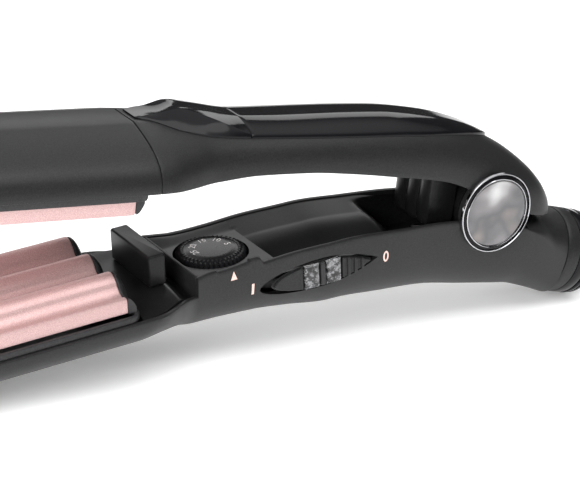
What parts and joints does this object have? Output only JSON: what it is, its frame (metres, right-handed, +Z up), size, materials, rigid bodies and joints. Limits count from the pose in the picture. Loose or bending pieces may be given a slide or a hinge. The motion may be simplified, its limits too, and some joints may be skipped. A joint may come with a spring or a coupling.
{
  "type": "hair crimper",
  "caption": "Hinged hair crimper with waved plates, temperature dial, slide switch and cord swivel, standing open on its tip and tail.",
  "frame": {"origin": "centre of the flat rest facet under the tip of the lower arm, on the surface that the tool stands on", "axes": "+X along the tool from its tip to its cord end, +Z up, -Y is the side with the switch"},
  "size_m": [0.307, 0.0586, 0.0889],
  "materials": {
    "casing": "fine matt texture, charcoal black",
    "inner_plastic": "matt moulded",
    "gloss_black": "piano black",
    "rose_gold": "satin rose-gold ceramic coating",
    "chrome": "polished",
    "silver_disc": "spun silver with a pearl tint",
    "ceramic": "unglazed",
    "aluminium": "mill",
    "steel": "drawn",
    "circuit_board": "solder mask",
    "component": "moulded",
    "clear_lens": "clear faceted"
  },
  "bodies": {
    "lower_arm": {"circuit_board": "circuit_board", "dial_control": "component", "guide_block": "casing", "guide_deck": "inner_plastic", "handle_screw_1": "steel", "handle_screw_2": "steel", "hinge_cap_disc_far": "silver_disc", "hinge_cap_disc_near": "silver_disc", "hinge_cap_rim_far": "chrome", "hinge_cap_rim_near": "chrome", "hinge_pin": "steel", "hinge_washer_far": "steel", "hinge_washer_near": "steel", "lower_casing": "casing", "lower_heater": "ceramic", "lower_heater_clamp": "aluminium", "lower_inner_cover": "inner_plastic", "lower_plate": "rose_gold", "lower_plate_end_front": "casing", "lower_plate_end_rear": "casing", "lower_plate_frame": "casing", "lower_thermal_fuse": "steel", "power_switch_chip": "component", "return_spring": "steel", "switch_backing": "inner_plastic", "switch_body": "component"},
    "upper_arm": {"gloss_panel": "gloss_black", "hinge_knuckle": "inner_plastic", "spring_housing": "casing", "thumb_rest": "gloss_black", "upper_front_casing": "casing", "upper_handle_shell": "casing", "upper_heater": "ceramic", "upper_heater_clamp": "aluminium", "upper_inner_cover": "inner_plastic", "upper_plate": "rose_gold", "upper_plate_end_front": "casing", "upper_plate_end_rear": "casing", "upper_plate_frame": "casing", "upper_thermal_fuse": "steel"},
    "dial": {"temperature_dial": "gloss_black"},
    "slider": {"switch_slider": "casing", "switch_window_1": "clear_lens", "switch_window_2": "clear_lens"},
    "swivel": {"cord_swivel": "gloss_black"}
  },
  "joints": [
    {"name": "arm_hinge", "type": "hinge", "parent": "lower_arm", "child": "upper_arm", "pos_m": [0.23831, 0, 0.0425], "axis": [0, -1, 0], "range_deg": [0, 10.5], "stiffness_Nm_per_rad": 2, "springref_deg": -11.46, "deforming": ["return_spring"]},
    {"name": "dial_turn", "type": "hinge", "parent": "lower_arm", "child": "dial", "pos_m": [0.14038, 0, 0.0294], "axis": [-0.1326, 0, 0.9912], "range_deg": [-10, 220]},
    {"name": "switch_slide", "type": "slide", "parent": "lower_arm", "child": "slider", "axis": [-0.9912, 0, -0.1326], "range_m": [0, 0.0034]},
    {"name": "cord_swivel_turn", "type": "hinge", "parent": "lower_arm", "child": "swivel", "pos_m": [0.27444, 0, 0.01828], "axis": [0.9729, 0, -0.2314], "continuous": true}
  ]
}
